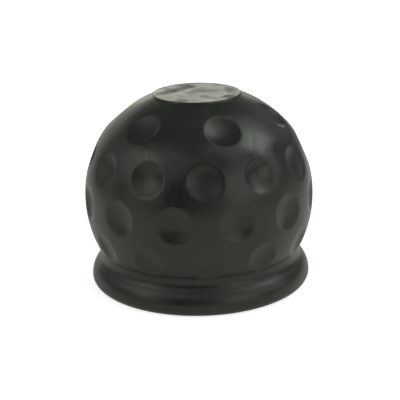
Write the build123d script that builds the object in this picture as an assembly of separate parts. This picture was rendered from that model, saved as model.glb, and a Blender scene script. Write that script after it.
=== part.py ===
from build123d import *
import os
from math import acos, asin, atan2, cos, degrees, hypot, radians, sin, sqrt

# Tow ball cover: one soft rubber moulding in the form of a dimpled ball.
# It has a raised flat top and a fat bead about its mouth, and it snaps over the ball of a tow bar.
# Millimetres. +Z is the cover's own axis, and z = 0 is the foot of the bead, where it stands.

# Driving dimensions: the tow ball and how the cover holds it
tow_ball_diameter = 50.0
ball_clearance = 2.0  # room between the tow ball and the cavity, all round
mouth_grip = 2.0  # how much smaller the mouth's radius is than the tow ball's
wall = 4.0

# Driving dimensions: the outside
flat_top_diameter = 23.6
flat_top_rise = 0.46  # how far the flat top stands proud of the crown
crown_latitude = 35.5  # degrees, where the flatter crown takes over from the ball
crown_flattening = 1.96  # how much larger the crown's radius is than the ball's
neck_height = 8.9  # from the foot up to where the ball has narrowed to the neck
bead_overhang = 3.0  # how far the bead stands out from the neck
bead_face_round = 6.0  # radius of the bead's upper face
bead_foot_round = 2.2  # radius of its lower edge

# Driving dimensions: rounded edges
top_edge_round = 0.25
top_root_round = 0.2  # where the flat top rises from the crown
crown_edge_round = 15.0
cove_round = 3.0  # hollow between the ball and the bead
ceiling_round = 3.0
throat_round = 1.5  # inside edge that the tow ball snaps past
lip_round = 1.2  # lead-in at the foot of the mouth

# Driving dimensions: the dimples
dimple_diameter = 9.3  # across the rim, before it is rounded
dimple_depth = 1.05  # below the plane of the rim
lowest_dimple_diameter = 8.3  # the same two in the lowest row, which is smaller and shallower
lowest_dimple_depth = 0.6
dimple_rim_round = 1.2
crown_band = 5.45  # smooth stretch from the flat top's edge down to the highest dimples
foot_band = 0.45  # smooth stretch from the cove up to the lowest dimples
middle_row_share = 0.37  # shares of the way from the lowest row to the crown, for the two rows between
shoulder_row_share = 0.76
dimples_round = 12  # in each full row, and half as many in the highest


def chord_rise(radius, offset):
    """Height of a circle of that radius above its centre, at that distance from its axis."""
    return sqrt(radius**2 - offset**2)


# Radii that follow from the driving dimensions
cavity_radius = tow_ball_diameter / 2 + ball_clearance
shell_radius = cavity_radius + wall
crown_radius = shell_radius + crown_flattening
mouth_radius = tow_ball_diameter / 2 - mouth_grip
neck_radius = mouth_radius + wall
bead_radius = neck_radius + bead_overhang
bead_face_offset = bead_radius - bead_face_round
bead_foot_offset = bead_radius - bead_foot_round
flat_top_radius = flat_top_diameter / 2
crown_edge_radius = shell_radius * cos(radians(crown_latitude))
rim_radius = dimple_diameter / 2
lowest_rim_radius = lowest_dimple_diameter / 2

# Heights that follow from them
centre_height = neck_height + chord_rise(shell_radius, neck_radius)
crown_edge_height = centre_height + shell_radius * sin(radians(crown_latitude))
crown_centre_height = crown_edge_height - chord_rise(crown_radius, crown_edge_radius)
top_root_height = crown_centre_height + chord_rise(crown_radius, flat_top_radius)
top_height = top_root_height + flat_top_rise
ceiling_height = top_height - wall
throat_height = centre_height - chord_rise(cavity_radius, mouth_radius)
ceiling_radius = chord_rise(cavity_radius, ceiling_height - centre_height)


def ball_foot_latitude(cove):
    """Latitude, in degrees, where the ball runs into a cove of that radius, or for none into the bead."""
    drop = centre_height - bead_foot_round
    apart = hypot(bead_face_offset, drop)
    ball_side = shell_radius + cove
    bead_side = bead_face_round + cove
    lean = acos((ball_side**2 + apart**2 - bead_side**2) / (2 * ball_side * apart))
    return degrees(lean - atan2(drop, bead_face_offset))


crease_angle = radians(ball_foot_latitude(0))
crease_radius = shell_radius * cos(crease_angle)
crease_height = centre_height + shell_radius * sin(crease_angle)


def block(outer, foot, head):
    """A rectangle of the half section, from the axis out to a radius, between two heights."""
    return Pos(0, foot) * Rectangle(outer, head - foot, align=Align.MIN)


def disc(radius, offset, height):
    """A circle of the half section, at that distance from the axis and that height."""
    return Pos(offset, height) * Circle(radius)


def ball_section():
    """Half of the ball, with its flatter crown and the flat top."""
    ball = disc(shell_radius, 0, centre_height) & disc(crown_radius, 0, crown_centre_height)
    upper = ball & block(shell_radius, crease_height, top_height)
    return upper + block(flat_top_radius, centre_height, top_height)


def bead_section():
    """Half of the bead: an upper face, a rounded lower edge and a flat foot."""
    face = disc(bead_face_round, bead_face_offset, bead_foot_round)
    upper = face & block(bead_radius, bead_foot_round, crease_height)
    inner = block(crease_radius, 0, crease_height)
    foot = block(bead_foot_offset, 0, bead_foot_round)
    return inner + upper + foot + disc(bead_foot_round, bead_foot_offset, bead_foot_round)


def cavity_section():
    """Half of the hollow: room for the tow ball under a flat ceiling, and the narrower mouth."""
    room = disc(cavity_radius, 0, centre_height) & block(cavity_radius, throat_height, ceiling_height)
    return room + block(mouth_radius, 0, throat_height)


def half_section():
    """The wall on one side of the axis, with its edges rounded: X is the radius and Y the height."""
    section = ball_section() + bead_section() - cavity_section()
    rounds = [
        (flat_top_radius, top_height, top_edge_round),
        (flat_top_radius, top_root_height, top_root_round),
        (crown_edge_radius, crown_edge_height, crown_edge_round),
        (crease_radius, crease_height, cove_round),
        (ceiling_radius, ceiling_height, ceiling_round),
        (mouth_radius, throat_height, throat_round),
        (mouth_radius, 0, lip_round),
    ]
    for radius, height, edge_round in rounds:
        corner = section.vertices().sort_by_distance((radius, height, 0))[0]
        section = fillet(corner, edge_round)
    return section


def crown_row_latitude():
    """Latitude of the highest row of dimples, in degrees, as seen from the crown's centre."""
    half_angle = degrees(asin(rim_radius / crown_radius))
    return degrees(acos(flat_top_radius / crown_radius) - crown_band / crown_radius) - half_angle


def ball_row_latitudes():
    """Latitude of each lower row of dimples, in degrees, from the shoulder down."""
    half_angle = degrees(asin(lowest_rim_radius / shell_radius))
    lowest = ball_foot_latitude(cove_round) + degrees(foot_band / shell_radius) + half_angle
    shares = (shoulder_row_share, middle_row_share, 0)
    return [lowest + share * (crown_latitude - lowest) for share in shares]


def seated_lens(ball, rim, depth):
    """Cutter of a dimple at the top of a ball of that radius: a cap that reaches just clear of it."""
    cutter_radius = (rim**2 + depth**2) / (2 * depth)
    rim_distance = chord_rise(ball, rim)
    lens_height = depth + 2 * (ball - rim_distance)
    lens_edge = degrees(asin(lens_height / cutter_radius - 1))
    lens = Sphere(cutter_radius, -90, lens_edge, align=(Align.CENTER, Align.CENTER, Align.MIN))
    return Pos(0, 0, rim_distance - depth) * lens


def dimple_row(lens, height, latitude, count, first):
    """Cutters of one row round a ball with its centre at that height, from a first bearing on."""
    bearings = [first + 360 / count * place for place in range(count)]
    return [Pos(0, 0, height) * Rot(0, 0, bearing) * Rot(0, 90 - latitude, 0) * lens for bearing in bearings]


def dimple_cutters():
    """One lens for each dimple. Each row is staggered against the next."""
    stagger = 180 / dimples_round
    shoulder, middle, lowest = ball_row_latitudes()
    crown_lens = seated_lens(crown_radius, rim_radius, dimple_depth)
    ball_lens = seated_lens(shell_radius, rim_radius, dimple_depth)
    low_lens = seated_lens(shell_radius, lowest_rim_radius, lowest_dimple_depth)
    return [
        *dimple_row(crown_lens, crown_centre_height, crown_row_latitude(), dimples_round // 2, -stagger),
        *dimple_row(ball_lens, centre_height, shoulder, dimples_round, 0),
        *dimple_row(ball_lens, centre_height, middle, dimples_round, stagger),
        *dimple_row(low_lens, centre_height, lowest, dimples_round, 0),
    ]


def is_dimple_rim(edge):
    """True for the circles that the dimples leave on the shell."""
    if edge.geom_type != GeomType.CIRCLE:
        return False
    return any(abs(edge.radius - rim) < rim / 1000 for rim in (rim_radius, lowest_rim_radius))


def ball_cover():
    """The whole moulding: the revolved wall, with the dimples sunk in it and their rims rounded."""
    plain = revolve(Plane.XZ * half_section(), Axis.Z)
    dimpled = plain - dimple_cutters()
    return fillet(dimpled.edges().filter_by(is_dimple_rim), dimple_rim_round)


os.makedirs("parts", exist_ok=True)
export_step(ball_cover(), "parts/ball_cover.step")
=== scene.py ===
"""Looks of a tow ball cover: one dimpled moulding of black rubber on a white studio floor.

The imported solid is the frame. The cover is modelled here as one finer mesh of the same form, from the same
sizes, and dressed as moulded rubber that has been handled. Everything is in metres, with +Z up along the
cover's axis and -Y towards the viewer.
"""

import logging
from dataclasses import dataclass
from enum import Enum
from functools import partial, reduce
from math import acos, asin, atan2, ceil, cos, degrees, hypot, pi, radians, sin, sqrt
from typing import Any

import bmesh
import bpy
import numpy as np
from mathutils import Matrix, Vector


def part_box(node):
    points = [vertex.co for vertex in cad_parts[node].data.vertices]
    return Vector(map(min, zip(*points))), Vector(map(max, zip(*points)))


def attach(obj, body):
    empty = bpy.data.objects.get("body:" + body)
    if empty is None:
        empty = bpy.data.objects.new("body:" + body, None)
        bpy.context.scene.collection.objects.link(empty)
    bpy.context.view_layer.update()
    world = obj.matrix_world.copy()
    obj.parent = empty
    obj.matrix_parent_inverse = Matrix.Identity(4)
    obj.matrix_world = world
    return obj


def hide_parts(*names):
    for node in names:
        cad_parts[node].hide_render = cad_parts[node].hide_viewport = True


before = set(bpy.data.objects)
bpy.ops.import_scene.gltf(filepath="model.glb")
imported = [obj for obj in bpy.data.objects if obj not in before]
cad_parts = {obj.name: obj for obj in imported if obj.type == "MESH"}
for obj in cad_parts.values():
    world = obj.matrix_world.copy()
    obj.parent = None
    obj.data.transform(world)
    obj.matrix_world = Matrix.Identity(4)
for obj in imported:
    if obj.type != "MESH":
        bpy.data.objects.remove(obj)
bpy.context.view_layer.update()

log = logging.getLogger("tow_ball_cover")

MM = 0.001
HAIR = MM / 1000  # points that are closer than this are the same
FULL_TURN = 360
QUARTER_TURN = 90

BODY = "root"
NODE = "ball_cover"
PIECE = "dimpled_cover"

Point = tuple[float, float]
Span = tuple[float, float]
Triple = tuple[float, float, float]
Tint = tuple[float, float, float]
Colour = tuple[float, float, float, float]
Socket = bpy.types.NodeSocket

WHITE: Colour = (1, 1, 1, 1)
HAZE: Colour = (0.95, 1.0, 0.88, 1)  # the pale green grey of a dim room


def heading(azimuth: float, elevation: float) -> Vector:
    """Unit vector towards a place round the cover.

    Args:
        azimuth: degrees from -Y, the side that faces the viewer, positive towards +X.
        elevation: degrees above the horizon.

    Returns:
        The direction, in the part's frame.
    """
    turn, rise = radians(azimuth), radians(elevation)
    return Vector((sin(turn) * cos(rise), -cos(turn) * cos(rise), sin(rise)))


def add_object(name: str, data: bpy.types.ID) -> bpy.types.Object:
    """Puts a mesh, lamp or camera into the scene as an object.

    Args:
        name: the object's name.
        data: what it shows.

    Returns:
        The object, at the origin.
    """
    added = bpy.data.objects.new(name, data)
    bpy.context.scene.collection.objects.link(added)
    return added


@dataclass(frozen=True)
class Arc:
    """A round stretch of the half section.

    Angles are in degrees: 0 points away from the axis and 90 points up.
    """

    centre: Point
    radius: float
    start: float
    end: float

    def points(self, spacing: float) -> list[Point]:
        """Points along the arc, both ends included.

        Args:
            spacing: the longest step between two points, in metres.

        Returns:
            Distance from the axis and height of each point.
        """
        turn = radians(self.end - self.start)
        steps = max(1, ceil(abs(turn) * self.radius / spacing))
        angles = [radians(self.start) + turn * step / steps for step in range(steps + 1)]
        return [
            (self.centre[0] + self.radius * cos(angle), self.centre[1] + self.radius * sin(angle))
            for angle in angles
        ]


@dataclass(frozen=True)
class DimpleRing:
    """One row of dimples round a ball.

    The share is its place on the way from the lowest row up to the crown. The bearing of its first dimple is
    in degrees from +X, and the depth is measured below the rims.
    """

    share: float
    count: int
    first_bearing: float
    rim_radius: float = 4.65 * MM
    depth: float = 1.05 * MM

    def axes(self, latitude: float) -> np.ndarray:
        """Unit vectors out through the middles of the dimples.

        Args:
            latitude: latitude of the row on its ball, in degrees.

        Returns:
            One vector in each row.
        """
        first = QUARTER_TURN + self.first_bearing
        step = FULL_TURN / self.count
        return np.array([heading(first + step * place, latitude) for place in range(self.count)])


class Row(Enum):
    """The rows of dimples from the crown down."""

    CROWN = DimpleRing(1.0, 6, -15.0)
    SHOULDER = DimpleRing(0.76, 12, 0.0)
    MIDDLE = DimpleRing(0.37, 12, 15.0)
    LOWEST = DimpleRing(0.0, 12, 0.0, rim_radius=4.15 * MM, depth=0.6 * MM)


@dataclass(frozen=True)
class DimpledBall:
    """A ball with rows of shallow round dimples that have soft rims."""

    radius: float
    centre_height: float
    rim_round: float = 1.2 * MM

    def half_angle(self, row: Row) -> float:
        """Angle of a row's dimple from its middle to its rim, in radians."""
        return asin(row.value.rim_radius / self.radius)

    @staticmethod
    def half_chord(radius: float, distance: float, angle: np.ndarray) -> np.ndarray:
        """Half of the length that a circle cuts from rays.

        Args:
            radius: radius of the circle.
            distance: distance of its centre from where the rays start.
            angle: angle of each ray from the line to that centre, in radians.

        Returns:
            The half lengths, which are 0 for rays that pass the circle.
        """
        return np.sqrt(np.maximum(radius**2 - (distance * np.sin(angle)) ** 2, 0))

    def reach(self, angle: np.ndarray, row: Row) -> np.ndarray:
        """Distance of the dimpled surface from the ball's centre.

        Args:
            angle: angle of each point from the axis of its nearest dimple, in radians.
            row: the row that the dimple belongs to.

        Returns:
            The distances: the floor of the dimple, then its rounded rim, then the plain ball.
        """
        rim_radius, depth = row.value.rim_radius, row.value.depth
        floor_radius = (rim_radius**2 + depth**2) / (2 * depth)
        floor_centre = sqrt(self.radius**2 - rim_radius**2) - depth + floor_radius
        rim_centre = self.radius - self.rim_round
        both_radii = floor_radius + self.rim_round
        along = (rim_centre**2 - both_radii**2 + floor_centre**2) / (2 * floor_centre)
        aside = sqrt(rim_centre**2 - along**2)
        outer = atan2(aside, along)
        towards = floor_radius / both_radii
        inner = atan2(aside * towards, floor_centre + (along - floor_centre) * towards)
        past_outer = angle - outer
        floor = floor_centre * np.cos(angle) - self.half_chord(floor_radius, floor_centre, angle)
        rim = rim_centre * np.cos(past_outer) + self.half_chord(self.rim_round, rim_centre, past_outer)
        return np.select([angle < inner, angle < outer], [floor, rim], self.radius)

    def sink(self, places: np.ndarray, latitudes: dict[Row, float]) -> None:
        """Draws the points on this ball in to the floors and rims of its dimples.

        Args:
            places: one point in each row, changed in place.
            latitudes: the rows of dimples on this ball, each with its latitude in degrees.
        """
        centre = np.array([0, 0, self.centre_height])
        from_centre = places - centre
        distance = np.linalg.norm(from_centre, axis=1)
        skin = np.abs(distance - self.radius) < HAIR
        outward = from_centre[skin] / distance[skin, None]
        reach = np.full(len(outward), self.radius)
        for row, latitude in latitudes.items():
            facing = np.clip(outward @ row.value.axes(latitude).T, -1, 1)
            reach = np.minimum(reach, self.reach(np.arccos(facing).min(axis=1), row))
        places[skin] = centre + outward * reach[:, None]


class Ramp(Enum):
    """How a value climbs from one end of a range to the other."""

    EVEN = "LINEAR"
    EASED = "SMOOTHSTEP"


class NodeBench:
    """Adds and wires the nodes of one material or world."""

    MIX_SHARE, MIX_FIRST, MIX_SECOND, MIXED = 0, 6, 7, 2  # the Mix node's sockets for colours

    def __init__(self, tree: bpy.types.NodeTree) -> None:
        """Clears a node tree for new nodes."""
        self.tree = tree
        tree.nodes.clear()

    def add(self, kind: str, sockets: dict[str | int, Any] | None = None, **settings: Any) -> bpy.types.Node:
        """Adds a node.

        Args:
            kind: the node's type, without its ShaderNode prefix.
            sockets: what goes into its inputs, a number, a colour or another node's output.
            settings: the node's own properties.

        Returns:
            The node.
        """
        node = self.tree.nodes.new("ShaderNode" + kind)
        for name, value in settings.items():
            setattr(node, name, value)
        for socket, value in (sockets or {}).items():
            if isinstance(value, Socket):
                self.tree.links.new(value, node.inputs[socket])
            else:
                node.inputs[socket].default_value = value
        return node

    def math(self, operation: str, *values: Any) -> Socket:
        """Joins up to three values by one operation of the Math node.

        Args:
            operation: the operation's name.
            values: numbers or outputs, in order.

        Returns:
            The result's output.
        """
        return self.add("Math", dict(enumerate(values)), operation=operation).outputs["Value"]

    def join(self, operation: str, values: list[Socket]) -> Socket:
        """Joins any number of values, each with the result so far, by one operation of the Math node."""
        return reduce(partial(self.math, operation), values)

    def vector(self, operation: str, *values: Any) -> Socket:
        """Joins vectors by one operation of the Vector Math node.

        Args:
            operation: the operation's name.
            values: vectors or outputs, in order.

        Returns:
            The result's output, a number for a dot product and a vector for anything else.
        """
        result = "Value" if operation == "DOT_PRODUCT" else "Vector"
        return self.add("VectorMath", dict(enumerate(values)), operation=operation).outputs[result]

    def mapped(self, place: Socket, location: Triple = (0, 0, 0), scale: Triple = (1, 1, 1)) -> Socket:
        """Coordinates that are stretched along the axes and then moved.

        Args:
            place: the coordinates.
            location: how far they are moved.
            scale: how much they are stretched.

        Returns:
            The new coordinates' output.
        """
        return self.add("Mapping", {"Vector": place, "Location": location, "Scale": scale}).outputs["Vector"]

    def remap(self, value: Socket, source: Span, target: Span = (0, 1), ramp: Ramp = Ramp.EVEN) -> Socket:
        """Stretches a value from one range to another, and clamps it there.

        Args:
            value: what is stretched.
            source: the range it comes from.
            target: the range it goes to.
            ramp: how it climbs between the two ends.

        Returns:
            The stretched value's output.
        """
        ends = ("From Min", "From Max", "To Min", "To Max")
        inputs = {"Value": value, **dict(zip(ends, (*source, *target)))}
        return self.add("MapRange", inputs, interpolation_type=ramp.value).outputs["Result"]

    def blend(self, share: Any, first: Any, second: Any) -> Socket:
        """Mixes two colours.

        Args:
            share: how much of the second there is.
            first: the colour at a share of 0.
            second: the colour at a share of 1.

        Returns:
            The mixed colour's output.
        """
        inputs = {self.MIX_SHARE: share, self.MIX_FIRST: first, self.MIX_SECOND: second}
        return self.add("Mix", inputs, data_type="RGBA").outputs[self.MIXED]


@dataclass(frozen=True)
class Clouds:
    """A cloudy pattern, with so many clouds to a metre, finer layers on them and a swirl that bends them.

    What lies between its two levels is stretched to its two shades.
    """

    scale: float
    layers: float
    levels: Span = (0, 1)
    shades: Span = (0, 1)
    ramp: Ramp = Ramp.EASED
    swirl: float = 0

    def plain(self, bench: NodeBench, place: Socket) -> Socket:
        """The pattern as it is, mostly near 0.5."""
        inputs = {"Vector": place, "Scale": self.scale, "Detail": self.layers, "Distortion": self.swirl}
        return bench.add("TexNoise", inputs).outputs["Fac"]

    def shade(self, bench: NodeBench, place: Socket) -> Socket:
        """The pattern stretched from its levels to its shades."""
        return bench.remap(self.plain(bench, place), self.levels, self.shades, self.ramp)


class Channel(Enum):
    """The channels of a random colour, which give draws that don't depend on each other."""

    RED = "Red"
    GREEN = "Green"


@dataclass(frozen=True)
class Specks:
    """Small round specks in a few cells of a pattern that has so many cells to a metre.

    A speck fades out between two distances from the middle of its cell, as shares of a cell. A cell has one
    where its random colour, in one channel, lies above the levels.
    """

    scale: float
    fade: Span
    channel: Channel
    levels: Span
    strength: float = 1
    ramp: Ramp = Ramp.EVEN

    def mask(self, bench: NodeBench, place: Socket) -> Socket:
        """How strong a speck is at each place.

        Args:
            bench: the material's nodes.
            place: object coordinates.

        Returns:
            The strength's output.
        """
        cells = bench.add("TexVoronoi", {"Vector": place, "Scale": self.scale}).outputs
        spots = bench.remap(cells["Distance"], self.fade, (1, 0), self.ramp)
        channels = bench.add("SeparateColor", {"Color": cells["Color"]}).outputs
        chosen = bench.remap(channels[self.channel.value], self.levels, (0, self.strength))
        return bench.math("MULTIPLY", spots, chosen)


@dataclass(frozen=True)
class Stroke:
    """One straight wipe over the flat top, with a sharp edge on its inner side and a soft one outside.

    The bearing, in degrees as for a heading, points from the middle of the flat top across the stroke. The
    inner and outer sides are distances from the middle along it, and the ends are distances square to it.
    """

    bearing: float
    inner: float
    outer: float
    ends: Span
    strength: float
    sharp_edge: float = 0.5 * MM
    lead_in: float = 3.0 * MM
    lead_out: float = 2.0 * MM

    def mask(self, bench: NodeBench, place: Socket, ragged: Socket) -> Socket:
        """How strong the stroke is at each place.

        Args:
            bench: the material's nodes.
            place: object coordinates.
            ragged: small lengths that make its edges uneven.

        Returns:
            The strength's output.
        """
        across = self.distance(bench, place, self.bearing, ragged)
        along = self.distance(bench, place, self.bearing - QUARTER_TURN, ragged)
        middle = (self.inner + self.outer) / 2
        start, end = self.ends
        fades = (
            (across, (self.inner, self.inner + self.sharp_edge), (0, self.strength)),
            (across, (middle, self.outer), (1, 0)),
            (along, (start, start + self.lead_in), (0, 1)),
            (along, (end - self.lead_out, end), (1, 0)),
        )
        return bench.join("MULTIPLY", [bench.remap(*fade, Ramp.EASED) for fade in fades])

    @staticmethod
    def distance(bench: NodeBench, place: Socket, bearing: float, ragged: Socket) -> Socket:
        """Distance from the cover's axis along one bearing, made uneven.

        Args:
            bench: the material's nodes.
            place: object coordinates.
            bearing: degrees, as for a heading.
            ragged: small lengths that are added.

        Returns:
            The distance's output.
        """
        return bench.math("ADD", bench.vector("DOT_PRODUCT", place, heading(bearing, 0)), ragged)


@dataclass(frozen=True)
class RubMark:
    """A round patch of the ball that was rubbed. Its place and spread are in degrees."""

    azimuth: float
    latitude: float
    spread: float
    strength: float

    def mask(self, bench: NodeBench, outward: Socket) -> Socket:
        """How strong the mark is at each place.

        Args:
            bench: the material's nodes.
            outward: direction from the ball's centre.

        Returns:
            The strength's output.
        """
        facing = bench.vector("DOT_PRODUCT", outward, heading(self.azimuth, self.latitude))
        limits = (cos(radians(self.spread)), cos(radians(self.spread / 2)))
        return bench.remap(facing, limits, (0, self.strength), Ramp.EASED)


@dataclass(frozen=True)
class RubberFinish:
    """Black moulded rubber with a soft gloss that has been handled.

    It has smudges, fine lines from its mould and from rubbing, dull patches, pits, dust and a wiped top.
    """

    flat_top_height: float
    ball_centre_height: float
    name: str = "moulded_rubber"

    # Colours, and the levels of the smudges between which the deep one goes over into the dusty one
    deep: Colour = (0.0105, 0.0107, 0.0094, 1)
    dusty: Colour = (0.022, 0.0222, 0.0197, 1)
    dust: Colour = (0.085, 0.085, 0.073, 1)
    film: Colour = (0.05, 0.0515, 0.043, 1)
    tint: Colour = (0.94, 1.0, 0.90, 1)
    dusty_levels: Span = (0.38, 0.66)
    film_share: float = 0.3

    # Roughness of clean and of smudged rubber, the smudges' levels for it, and what wear adds to it
    roughness: Span = (0.25, 0.40)
    rough_levels: Span = (0.3, 0.7)
    line_gloss: float = -0.12
    rub_dullness: float = 0.12
    wipe_dullness: float = 0.30

    # Relief
    wave_height: float = 0.12 * MM
    flat_wave_height: float = 0.006 * MM
    grain_height: float = 0.003 * MM
    pit_depth: float = 0.08 * MM
    top_edge: Span = (0.30 * MM, 0.05 * MM)  # depths below the flat top between which its looks begin

    # Patterns
    smudges: Clouds = Clouds(75, 5, swirl=0.5)
    drag_streaks: Clouds = Clouds(38, 1, (0.40, 0.70))
    drag_patches: Clouds = Clouds(62, 1, (0.46, 0.70), (0, 0.35))
    drag_wander: float = 3.0  # how fast the drag lines change along their length
    rub_streaks: Clouds = Clouds(900, 1, (0.38, 0.66))
    rub_wander: float = 0.07
    smears: Clouds = Clouds(170, 3, (0.40, 0.66), (0, 0.4), swirl=1.0)
    smear_offset: float = 13 * MM
    stroke_gaps: Clouds = Clouds(240, 3, (0.35, 0.6), (0.65, 1))
    stroke_edges: Clouds = Clouds(300, 2, (0.2, 0.8), (-0.5 * MM, 0.5 * MM), Ramp.EVEN)
    waves: Clouds = Clouds(120, 2)
    grain: Clouds = Clouds(2400, 2)
    dust_grains: Specks = Specks(330, (0.05, 0.11), Channel.RED, (0.90, 0.92), 0.7)
    pits: Specks = Specks(140, (0.02, 0.06), Channel.GREEN, (0.86, 0.88), ramp=Ramp.EASED)

    # Marks
    rub_marks: tuple[RubMark, ...] = (
        RubMark(36, 34, 14, 1.0),
        RubMark(-27, 33, 12, 0.7),
        RubMark(-14, 17, 9, 0.7),
        RubMark(15, 20, 9, 0.5),
    )
    dull_marks: tuple[RubMark, ...] = (
        RubMark(0, 21, 12, 0.8),
        RubMark(60, 21, 15, 1.2),
        RubMark(-60, 21, 14, 1.0),
        RubMark(-45, 48, 12, 0.8),
    )
    strokes: tuple[Stroke, ...] = (
        Stroke(226, 4.2 * MM, 9.4 * MM, (-9.5 * MM, 6.5 * MM), 1.0),
        Stroke(90, 7.8 * MM, 11.4 * MM, (-6.0 * MM, 2.5 * MM), 0.6),
        Stroke(53, 8.4 * MM, 12.4 * MM, (-3.4 * MM, 3.0 * MM), 0.9),
        Stroke(-25, 8.6 * MM, 12.4 * MM, (-3.0 * MM, 3.0 * MM), 0.7),
    )

    def material(self) -> bpy.types.Material:
        """Mixes the finish as a node material on object coordinates.

        Returns:
            The material.
        """
        made = bpy.data.materials.new(self.name)
        made.use_nodes = True
        bench = NodeBench(made.node_tree)
        place = bench.add("TexCoord").outputs["Object"]
        outward = bench.vector("NORMALIZE", bench.mapped(place, location=(0, 0, -self.ball_centre_height)))
        height = bench.add("SeparateXYZ", {"Vector": place}).outputs["Z"]
        foot, head = (self.flat_top_height - depth for depth in self.top_edge)
        on_top = bench.remap(height, (foot, head))
        smudges = self.smudges.plain(bench, place)
        wipes = self.wipes(bench, place, on_top)
        inputs = {
            "Base Color": self.colour(bench, place, smudges, wipes),
            "Roughness": self.gloss(bench, place, outward, smudges, wipes),
            "Normal": self.relief(bench, place, on_top),
            "Specular Tint": self.tint,
        }
        shader = bench.add("BsdfPrincipled", inputs).outputs["BSDF"]
        bench.add("OutputMaterial", {"Surface": shader})
        return made

    def drag_lines(self, bench: NodeBench, place: Socket) -> Socket:
        """Fine lines up and down the cover, faint and in patches, where it was pulled from its mould.

        Args:
            bench: the material's nodes.
            place: object coordinates.

        Returns:
            How strong a line is at each place, from 0 to 1.
        """
        bearing = bench.vector("NORMALIZE", bench.mapped(place, scale=(1, 1, 0)))
        upright = bench.mapped(place, scale=(0, 0, self.drag_wander))
        streaks = self.drag_streaks.shade(bench, bench.vector("ADD", bearing, upright))
        return bench.math("MULTIPLY", streaks, self.drag_patches.shade(bench, place))

    def rub_lines(self, bench: NodeBench, place: Socket, outward: Socket) -> Socket:
        """Straight fine lines down the front, in the few places where it was rubbed.

        Args:
            bench: the material's nodes.
            place: object coordinates.
            outward: direction from the ball's centre.

        Returns:
            How strong a line is at each place, from 0 to 1.
        """
        streaks = self.rub_streaks.shade(bench, bench.mapped(place, scale=(1, 0, self.rub_wander)))
        patches = bench.join("MAXIMUM", [mark.mask(bench, outward) for mark in self.rub_marks])
        return bench.math("MULTIPLY", streaks, patches)

    def wipes(self, bench: NodeBench, place: Socket, on_top: Socket) -> Socket:
        """What a wiping hand left on the flat top: cloudy smears, and straight strokes with sharp edges.

        Args:
            bench: the material's nodes.
            place: object coordinates.
            on_top: 1 on the flat top and 0 elsewhere.

        Returns:
            How thick the smear is at each place, from 0 to 1.
        """
        smears = self.smears.shade(bench, bench.mapped(place, location=(0, 0, self.smear_offset)))
        ragged = self.stroke_edges.shade(bench, place)
        gaps = self.stroke_gaps.shade(bench, place)
        strokes = bench.join("MAXIMUM", [stroke.mask(bench, place, ragged) for stroke in self.strokes])
        wiped = bench.math("MAXIMUM", smears, bench.math("MULTIPLY", strokes, gaps))
        return bench.math("MULTIPLY", wiped, on_top)

    def colour(self, bench: NodeBench, place: Socket, smudges: Socket, wipes: Socket) -> Socket:
        """Black rubber, greyed by smudges, specks of dust and the film on its flat top.

        Args:
            bench: the material's nodes.
            place: object coordinates.
            smudges: a cloudy pattern from 0 to 1.
            wipes: how thick the smear on the flat top is.

        Returns:
            The colour's output.
        """
        skin = bench.blend(bench.remap(smudges, self.dusty_levels), self.deep, self.dusty)
        filmed = bench.blend(bench.math("MULTIPLY", wipes, self.film_share), skin, self.film)
        return bench.blend(self.dust_grains.mask(bench, place), filmed, self.dust)

    def gloss(
        self, bench: NodeBench, place: Socket, outward: Socket, smudges: Socket, wipes: Socket
    ) -> Socket:
        """Roughness: duller where the rubber is smudged, rubbed dull or wiped, glossier along fine lines.

        Args:
            bench: the material's nodes.
            place: object coordinates.
            outward: direction from the ball's centre.
            smudges: a cloudy pattern from 0 to 1.
            wipes: how thick the smear on the flat top is.

        Returns:
            The roughness's output.
        """
        lines = bench.math("MAXIMUM", self.drag_lines(bench, place), self.rub_lines(bench, place, outward))
        dull = bench.join("MAXIMUM", [mark.mask(bench, outward) for mark in self.dull_marks])
        skin = bench.remap(smudges, self.rough_levels, self.roughness)
        lined = bench.math("MULTIPLY_ADD", lines, self.line_gloss, skin)
        rubbed = bench.math("MULTIPLY_ADD", dull, self.rub_dullness, lined)
        return bench.math("MULTIPLY_ADD", wipes, self.wipe_dullness, rubbed)

    def relief(self, bench: NodeBench, place: Socket, on_top: Socket) -> Socket:
        """The skin's small unevenness: soft waves, moulding grain and pits.

        Args:
            bench: the material's nodes.
            place: object coordinates.
            on_top: 1 on the flat top, which has hardly any waves, and 0 elsewhere.

        Returns:
            The normal's output.
        """
        swell = bench.remap(on_top, (0, 1), (self.wave_height, self.flat_wave_height))
        wavy = bench.math("MULTIPLY", self.waves.plain(bench, place), swell)
        grainy = bench.math("MULTIPLY_ADD", self.grain.plain(bench, place), self.grain_height, wavy)
        pitted = bench.math("MULTIPLY_ADD", self.pits.mask(bench, place), -self.pit_depth, grainy)
        return bench.add("Bump", {"Strength": 1, "Distance": 1, "Height": pitted}).outputs["Normal"]


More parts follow.
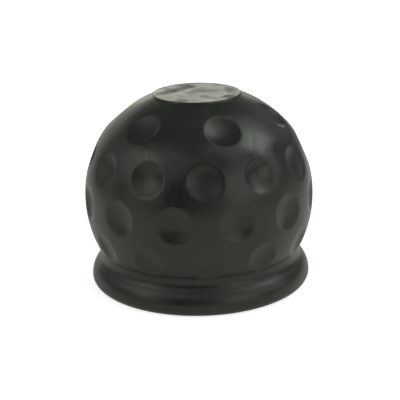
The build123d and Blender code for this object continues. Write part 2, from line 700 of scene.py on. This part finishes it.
@dataclass
class BallCover:
    """The cover itself.

    It is a hollow dimpled ball with a raised flat top, a short neck and a fat bead about its mouth.
    """

    ball_radius: float
    top_height: float

    # The form
    wall: float = 4.0 * MM
    cavity_room: float = 2.0 * MM
    mouth_grip: float = 2.0 * MM
    flat_top_radius: float = 11.8 * MM
    flat_top_rise: float = 0.46 * MM
    crown_latitude: float = 35.5
    crown_flattening: float = 1.96 * MM
    bead_overhang: float = 3.0 * MM
    bead_face_round: float = 6.0 * MM
    bead_foot_round: float = 2.2 * MM
    top_edge_round: float = 0.25 * MM
    top_root_round: float = 0.2 * MM
    crown_edge_round: float = 15.0 * MM
    cove_round: float = 3.0 * MM
    ceiling_round: float = 3.0 * MM
    throat_round: float = 1.5 * MM
    lip_round: float = 1.2 * MM
    crown_band: float = 5.45 * MM
    foot_band: float = 0.45 * MM

    # The mesh: the longest steps along the half section
    top_step: float = 0.065 * MM
    skin_step: float = 0.5 * MM
    bead_step: float = 0.3 * MM
    lip_step: float = 0.3 * MM
    throat_step: float = 0.25 * MM
    inside_step: float = 2.5 * MM
    ceiling_step: float = 0.6 * MM

    # The mesh: rings on the flat faces, as shares of their radius, and steps round the axis
    top_rings: tuple[float, ...] = (0, 0.25, 0.5, 0.75, 0.985)
    ceiling_rings: tuple[float, ...] = (0.75, 0.5, 0.25, 0)
    sectors: int = 12
    sector_steps: int = 36

    def __post_init__(self) -> None:
        """Works out the radii and heights that follow from the sizes."""
        self.cavity_radius = self.ball_radius - self.wall
        self.crown_radius = self.ball_radius + self.crown_flattening
        self.mouth_radius = self.cavity_radius - self.cavity_room - self.mouth_grip
        bead_radius = self.mouth_radius + self.wall + self.bead_overhang
        self.bead_face_centre = (bead_radius - self.bead_face_round, self.bead_foot_round)
        self.bead_foot_centre = (bead_radius - self.bead_foot_round, self.bead_foot_round)
        self.ceiling_height = self.top_height - self.wall
        lean = radians(self.crown_latitude)
        crown_edge = self.ball_radius * cos(lean)
        crown_drop = sqrt(self.crown_radius**2 - crown_edge**2) - self.ball_radius * sin(lean)
        top_root = sqrt(self.crown_radius**2 - self.flat_top_radius**2)
        self.crown_centre_height = self.top_height - self.flat_top_rise - top_root
        self.centre_height = self.crown_centre_height + crown_drop

    def ball_foot_latitude(self) -> float:
        """Latitude at which the ball runs into the cove above the bead.

        Returns:
            The latitude, in degrees.
        """
        across, drop = self.bead_face_centre[0], self.centre_height - self.bead_face_centre[1]
        apart = hypot(across, drop)
        ball_side = self.ball_radius + self.cove_round
        bead_side = self.bead_face_round + self.cove_round
        lean = acos((ball_side**2 + apart**2 - bead_side**2) / (2 * ball_side * apart))
        return degrees(lean - atan2(drop, across))

    def flat_top(self) -> list[Point]:
        """Draws the half section's raised flat top, from its middle out to the foot of its step.

        Returns:
            The points in order.
        """
        edge, root = self.top_edge_round, self.top_root_round
        flat_end = self.flat_top_radius - edge
        root_radius = self.flat_top_radius + root
        root_rise = sqrt((self.crown_radius + root) ** 2 - root_radius**2)
        root_height = self.crown_centre_height + root_rise
        crown_top = degrees(atan2(root_rise, root_radius))
        return [
            *[(flat_end * ring, self.top_height) for ring in self.top_rings],
            *Arc((flat_end, self.top_height - edge), edge, 90, 0).points(self.top_step),
            *Arc((root_radius, root_height), root, 180, 180 + crown_top).points(self.top_step),
        ]

    def dome(self) -> list[Point]:
        """Draws the half section's crown and ball, from the flat top's step down to the cove.

        Returns:
            The points in order, without the first, which ends the flat top.
        """
        root, soft = self.top_root_round, self.crown_edge_round
        low, high = self.crown_centre_height, self.centre_height
        crown_top = degrees(acos((self.flat_top_radius + root) / (self.crown_radius + root)))
        crown_side, ball_side = self.crown_radius - soft, self.ball_radius - soft
        apart = high - low
        rise = (crown_side**2 - ball_side**2 - apart**2) / (2 * apart)
        across = sqrt(ball_side**2 - rise**2)
        crown_foot = degrees(atan2(rise + apart, across))
        ball_top = degrees(atan2(rise, across))
        arcs = (
            Arc((0, low), self.crown_radius, crown_top, crown_foot),
            Arc((across, high + rise), soft, crown_foot, ball_top),
            Arc((0, high), self.ball_radius, ball_top, self.ball_foot_latitude()),
        )
        return [point for arc in arcs for point in arc.points(self.skin_step)[1:]]

    def bead(self) -> list[Point]:
        """Draws the half section's cove and bead, from the ball's foot down to the flat foot.

        Returns:
            The points in order, without the first, which ends the ball.
        """
        cove, face = self.cove_round, self.bead_face_centre
        ball_foot = self.ball_foot_latitude()
        lean, reach = radians(ball_foot), self.ball_radius + cove
        cove_centre = (reach * cos(lean), self.centre_height + reach * sin(lean))
        face_top = degrees(atan2(cove_centre[1] - face[1], cove_centre[0] - face[0]))
        arcs = (
            Arc(cove_centre, cove, ball_foot + 180, face_top + 180),
            Arc(face, self.bead_face_round, face_top, 0),
            Arc(self.bead_foot_centre, self.bead_foot_round, 0, -90),
        )
        return [point for arc in arcs for point in arc.points(self.bead_step)[1:]]

    def inside(self) -> list[Point]:
        """Draws the half section's inner side, from the lip of the mouth up to the middle of the ceiling.

        Returns:
            The points in order.
        """
        room, low, high = self.cavity_radius, self.centre_height, self.ceiling_height
        lip, throat, corner = self.lip_round, self.throat_round, self.ceiling_round
        throat_radius = self.mouth_radius + throat
        throat_drop = sqrt((room + throat) ** 2 - throat_radius**2)
        room_foot = -degrees(atan2(throat_drop, throat_radius))
        corner_height = high - corner
        corner_radius = sqrt((room - corner) ** 2 - (corner_height - low) ** 2)
        room_top = degrees(atan2(corner_height - low, corner_radius))
        return [
            *Arc((self.mouth_radius + lip, lip), lip, 270, 180).points(self.lip_step),
            *Arc((throat_radius, low - throat_drop), throat, 180, 180 + room_foot).points(self.throat_step),
            *Arc((0, low), room, room_foot, room_top).points(self.inside_step)[1:],
            *Arc((corner_radius, corner_height), corner, room_top, 90).points(self.ceiling_step)[1:],
            *[(corner_radius * ring, high) for ring in self.ceiling_rings],
        ]

    def wall_mesh(self) -> bmesh.types.BMesh:
        """Turns the half section about the axis: one sector in fine steps, and then copies of it all round.

        Returns:
            The wall, without dimples.
        """
        turned = bmesh.new()
        section = [*self.flat_top(), *self.dome(), *self.bead(), *self.inside()]
        verts = [turned.verts.new((radius, 0, height)) for radius, height in section]
        edges = [turned.edges.new(pair) for pair in zip(verts, verts[1:])]
        about_axis = {"cent": (0, 0, 0), "axis": (0, 0, 1)}
        sector = radians(FULL_TURN / self.sectors)
        bmesh.ops.spin(turned, geom=[*verts, *edges], angle=sector, steps=self.sector_steps, **about_axis)
        bmesh.ops.spin(
            turned,
            geom=[*turned.verts, *turned.edges, *turned.faces],
            angle=radians(FULL_TURN) - sector,
            steps=self.sectors - 1,
            use_duplicate=True,
            **about_axis,
        )
        bmesh.ops.remove_doubles(turned, verts=turned.verts, dist=HAIR)
        bmesh.ops.recalc_face_normals(turned, faces=turned.faces)
        return turned

    def sink_dimples(self, mesh: bpy.types.Mesh) -> None:
        """Draws the skin in to the floor and the rim of every dimple, on the crown and then on the ball.

        Args:
            mesh: the turned wall, changed in place.
        """
        crown = DimpledBall(self.crown_radius, self.crown_centre_height)
        ball = DimpledBall(self.ball_radius, self.centre_height)
        top = acos(self.flat_top_radius / self.crown_radius)
        crown_row = degrees(top - self.crown_band / self.crown_radius - crown.half_angle(Row.CROWN))
        foot_gap = self.foot_band / self.ball_radius + ball.half_angle(Row.LOWEST)
        lowest = self.ball_foot_latitude() + degrees(foot_gap)
        climb = self.crown_latitude - lowest
        numbers = np.empty(len(mesh.vertices) * 3)
        mesh.vertices.foreach_get("co", numbers)
        places = numbers.reshape(-1, 3)
        crown.sink(places, {Row.CROWN: crown_row})
        ball.sink(places, {row: lowest + row.value.share * climb for row in Row if row is not Row.CROWN})
        mesh.vertices.foreach_set("co", places.ravel())
        mesh.update()

    def build(self) -> bpy.types.Object:
        """Models the cover, dresses it and sets it on its body.

        Returns:
            The cover's object.
        """
        mesh = bpy.data.meshes.new(PIECE)
        turned = self.wall_mesh()
        turned.to_mesh(mesh)
        turned.free()
        self.sink_dimples(mesh)
        mesh.shade_smooth()
        mesh.materials.append(RubberFinish(self.top_height, self.centre_height).material())
        cover = add_object(PIECE, mesh)
        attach(cover, BODY)
        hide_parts(NODE)
        return cover


@dataclass(frozen=True)
class PaperFinish:
    """White studio paper, which the camera and mirrors see nearly shadowless."""

    name: str = "studio_paper"
    paper: Colour = (0.85, 0.85, 0.85, 1)
    camera_glow: float = 0.74
    mirror_glow: float = 0.24

    def material(self) -> bpy.types.Material:
        """Mixes the paper as a node material that can be seen through from below.

        Returns:
            The material.
        """
        made = bpy.data.materials.new(self.name)
        made.use_nodes = True
        bench = NodeBench(made.node_tree)
        path = bench.add("LightPath").outputs
        seen = path["Is Camera Ray"]
        mirrored = bench.math("MAXIMUM", path["Is Glossy Ray"], path["Is Transmission Ray"])
        dimmed = bench.math("MULTIPLY", mirrored, self.mirror_glow)
        glow = bench.math("MULTIPLY_ADD", seen, self.camera_glow, dimmed)
        shade = bench.blend(seen, HAZE, WHITE)
        light = bench.add("Emission", {"Color": shade, "Strength": glow}).outputs["Emission"]
        paper = bench.add("BsdfDiffuse", {"Color": self.paper}).outputs["BSDF"]
        lit = bench.add("AddShader", {0: paper, 1: light}).outputs["Shader"]
        clear = bench.add("BsdfTransparent").outputs["BSDF"]
        below = bench.add("NewGeometry").outputs["Backfacing"]
        one_sided = bench.add("MixShader", {0: below, 1: lit, 2: clear}).outputs["Shader"]
        bench.add("OutputMaterial", {"Surface": one_sided})
        return made


@dataclass(frozen=True)
class Floor:
    """A round floor that keeps the shadow, open under the cover's mouth to let light in."""

    name: str = "floor"
    radius: float = 0.64
    hole: float = 0.021
    segments: int = 64

    def build(self) -> bpy.types.Object:
        """Models the floor and dresses it.

        Returns:
            The floor's object.
        """
        flat = bmesh.new()
        bmesh.ops.create_circle(flat, radius=self.hole, segments=self.segments)
        grown = bmesh.ops.extrude_edge_only(flat, edges=flat.edges[:])["geom"]
        outer = [item for item in grown if isinstance(item, bmesh.types.BMVert)]
        spread = self.radius / self.hole
        bmesh.ops.scale(flat, vec=(spread, spread, 1), verts=outer)
        flat.normal_update()
        bmesh.ops.reverse_faces(flat, faces=[face for face in flat.faces if face.normal.z < 0])
        mesh = bpy.data.meshes.new(self.name)
        flat.to_mesh(mesh)
        flat.free()
        mesh.materials.append(PaperFinish().material())
        floor = add_object(self.name, mesh)
        return floor


@dataclass(frozen=True)
class Viewpoint:
    """The camera. Its azimuth, elevation and roll are in degrees, and its lens and sensor in millimetres."""

    azimuth: float = -3.0
    elevation: float = 18.2
    roll: float = -1.35
    distance: float = 0.3137
    lens: float = 103.2
    sensor: float = 36
    shift: Point = (0.0026, -0.0193)
    clip: Span = (0.01, 20)

    def place(self, target: Vector) -> bpy.types.Object:
        """Sets up the camera and makes it the scene's own.

        Args:
            target: the point that it faces.

        Returns:
            The camera's object.
        """
        data = bpy.data.cameras.new("camera")
        data.lens = self.lens
        data.sensor_width = self.sensor
        data.shift_x, data.shift_y = self.shift
        data.clip_start, data.clip_end = self.clip
        camera = add_object("camera", data)
        back = heading(self.azimuth, self.elevation)
        level = (-back).to_track_quat("-Z", "Y").to_matrix().to_4x4()
        tilt = Matrix.Rotation(radians(self.roll), 4, "Z")
        camera.matrix_world = Matrix.Translation(target + back * self.distance) @ level @ tilt
        bpy.context.scene.camera = camera
        return camera


@dataclass(frozen=True)
class Softbox:
    """A soft rectangular lamp that faces the cover.

    Its azimuth is in degrees from the camera's side, and a brightness of 1 is that of white paper.
    """

    name: str
    azimuth: float
    elevation: float
    width: float
    height: float
    brightness: float
    colour: Tint = (1, 1, 1)
    distance: float = 0.6

    def hang(self, target: Vector, camera_azimuth: float) -> bpy.types.Object:
        """Puts the lamp in the scene.

        Args:
            target: the point that it faces.
            camera_azimuth: degrees from -Y to the camera's side.

        Returns:
            The lamp's object.
        """
        data = bpy.data.lights.new(self.name, "AREA")
        data.shape = "RECTANGLE"
        data.size = self.width
        data.size_y = self.height
        data.energy = pi * self.width * self.height * self.brightness
        data.color = self.colour
        lamp = add_object(self.name, data)
        away = heading(camera_azimuth + self.azimuth, self.elevation)
        lamp.location = target + away * self.distance
        lamp.rotation_euler = away.to_track_quat("Z", "Y").to_euler()
        return lamp


CREAM: Tint = (1.0, 0.99, 0.87)
COOL: Tint = (0.94, 1.0, 0.98)


@dataclass(frozen=True)
class Studio:
    """White floor, dim room with a white back wall, soft lamps and the camera."""

    target: Vector
    view: Viewpoint = Viewpoint()
    room_glow: float = 0.18
    lamps: tuple[Softbox, ...] = (
        Softbox("left_softbox", -74, 32, 0.40, 0.32, 0.92),
        Softbox("left_side_wall", -108, 24, 0.34, 0.34, 0.22),
        Softbox("left_wall", -46, 46, 0.50, 0.36, 0.50),
        Softbox("left_low_softbox", -56, 13, 0.36, 0.20, 0.52),
        Softbox("front_wall", 2, 42, 0.34, 0.24, 0.22),
        Softbox("right_front_softbox", 43, 18, 0.40, 0.34, 1.02),
        Softbox("right_side_softbox", 82, 22, 0.32, 0.28, 0.80),
        Softbox("right_softbox", 100, 45, 0.32, 0.26, 2.05, COOL),
        Softbox("right_wall", 72, 58, 0.50, 0.40, 0.76),
        Softbox("right_back_wall", 134, 28, 0.32, 0.32, 0.18),
        Softbox("back_softbox", 180, 9, 0.40, 0.26, 0.78, CREAM),
        Softbox("back_high_softbox", 180, 24, 0.20, 0.18, 2.0, CREAM),
        Softbox("back_left_wall", -153, 11, 0.30, 0.24, 0.72, CREAM),
        Softbox("under_softbox", 0, -80, 0.50, 0.50, 1.5),
    )

    def room(self) -> bpy.types.World:
        """Makes the world: white where the camera looks, and a dim room for everything else.

        Returns:
            The world.
        """
        world = bpy.data.worlds.new("room")
        world.use_nodes = True
        bench = NodeBench(world.node_tree)
        dim = bench.add("Background", {"Color": HAZE, "Strength": self.room_glow}).outputs["Background"]
        white = bench.add("Background", {"Color": WHITE}).outputs["Background"]
        seen = bench.add("LightPath").outputs["Is Camera Ray"]
        mix = bench.add("MixShader", {0: seen, 1: dim, 2: white}).outputs["Shader"]
        bench.add("OutputWorld", {"Surface": mix})
        bpy.context.scene.world = world
        return world

    def set_up(self) -> None:
        """Builds the whole studio."""
        self.view.place(self.target)
        Floor().build()
        self.room()
        for lamp in self.lamps:
            lamp.hang(self.target, self.view.azimuth)
        bpy.context.scene.view_settings.view_transform = "Standard"


def main() -> None:
    """Builds the cover and its studio in order, and reports each piece."""
    logging.basicConfig(level=logging.INFO, format="%(name)s: %(message)s")
    low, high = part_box(NODE)
    design = BallCover(ball_radius=(high.x - low.x) / 2, top_height=high.z)
    cover = design.build()
    log.info("%s has %d faces", cover.name, len(cover.data.polygons))
    studio = Studio(Vector((0, 0, design.centre_height)))
    studio.set_up()
    log.info("the studio is set, with %d lamps", len(studio.lamps))


if __name__ == "__main__":
    main()
